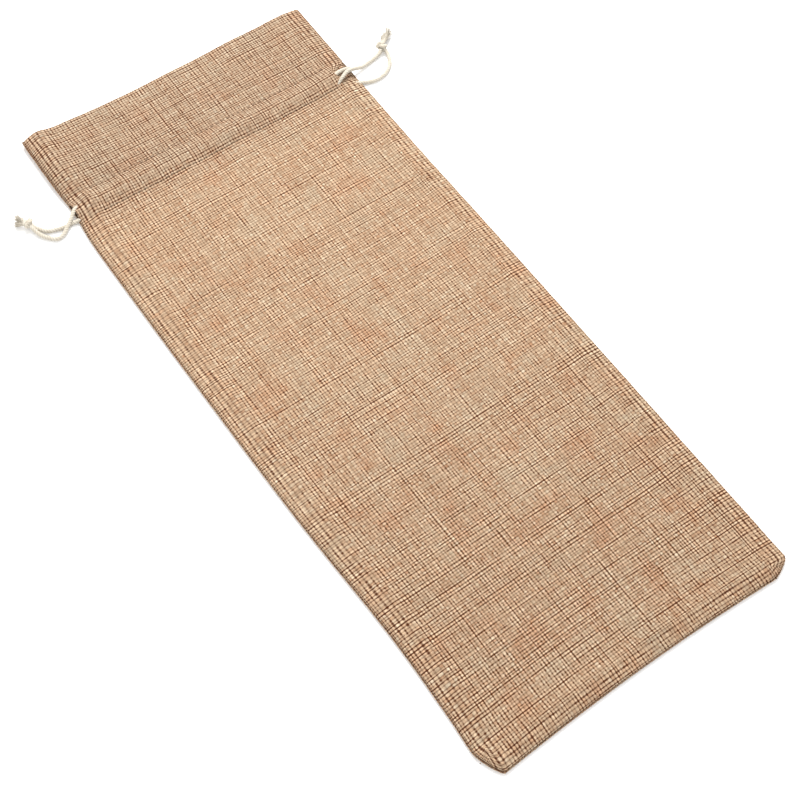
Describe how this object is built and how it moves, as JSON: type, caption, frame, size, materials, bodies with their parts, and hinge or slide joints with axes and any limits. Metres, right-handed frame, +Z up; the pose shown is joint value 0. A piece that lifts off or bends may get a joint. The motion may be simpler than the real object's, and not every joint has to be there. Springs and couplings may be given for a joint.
{
  "type": "drawstring wine gift bag",
  "caption": "Flat drawstring wine gift bag of coarse woven cloth with a gathered mouth channel and knotted cotton cords.",
  "frame": {"origin": "middle of the back panel's outer face, the face the flat bag lies on", "axes": "+X across the bag, +Y from the bottom seam to the mouth, +Z up from the back panel to the front panel"},
  "size_m": [0.2042, 0.35, 0.0064],
  "materials": {
    "bag_cloth": "coarse plain weave with slubs, matt",
    "sewing_thread": "fine twisted polyester thread",
    "cotton_cord": "soft twisted cotton, matt"
  },
  "bodies": {
    "bag": {"front_panel": "bag_cloth", "back_panel": "bag_cloth", "closing_seam_thread": "sewing_thread", "overlock_thread": "sewing_thread", "front_channel_upper_stitches": "sewing_thread", "front_channel_lower_stitches": "sewing_thread", "back_channel_upper_stitches": "sewing_thread", "back_channel_lower_stitches": "sewing_thread"},
    "mouth_left": {"left_bartacks": "sewing_thread"},
    "mouth_right": {"right_bartacks": "sewing_thread"},
    "left_cord": {"left_drawcord": "cotton_cord"},
    "right_cord": {"right_drawcord": "cotton_cord"},
    "left_cord_end": {"left_tail": "cotton_cord"},
    "right_cord_end": {"right_tail": "cotton_cord"}
  },
  "joints": [
    {"name": "left_cord_pull", "type": "slide", "parent": "bag", "child": "left_cord", "axis": [-1, 0, 0], "range_m": [0, 0.04]},
    {"name": "right_cord_pull", "type": "slide", "parent": "bag", "child": "right_cord", "axis": [1, 0, 0], "range_m": [0, 0.04]},
    {"name": "left_mouth_gather", "type": "slide", "parent": "bag", "child": "mouth_left", "axis": [1, 0, 0], "range_m": [0, 0.04], "deforming": ["front_panel", "back_panel", "closing_seam_thread", "overlock_thread", "front_channel_upper_stitches", "front_channel_lower_stitches", "back_channel_upper_stitches", "back_channel_lower_stitches"]},
    {"name": "right_mouth_gather", "type": "slide", "parent": "bag", "child": "mouth_right", "axis": [-1, 0, 0], "range_m": [0, 0.04]},
    {"name": "left_tail_swing", "type": "hinge", "parent": "left_cord", "child": "left_cord_end", "pos_m": [-0.0763, 0.1317, 0.003], "axis": [0, 0, 1], "range_deg": [-30, 10]},
    {"name": "right_tail_swing", "type": "hinge", "parent": "right_cord", "child": "right_cord_end", "pos_m": [0.0763, 0.1273, 0.003], "axis": [0, 0, 1], "range_deg": [-15, 30]}
  ],
  "couplings": [
    {"joint": "right_cord_pull", "follows": "left_cord_pull", "ratio": 1},
    {"joint": "left_mouth_gather", "follows": "left_cord_pull", "ratio": 1},
    {"joint": "right_mouth_gather", "follows": "left_cord_pull", "ratio": 1}
  ]
}
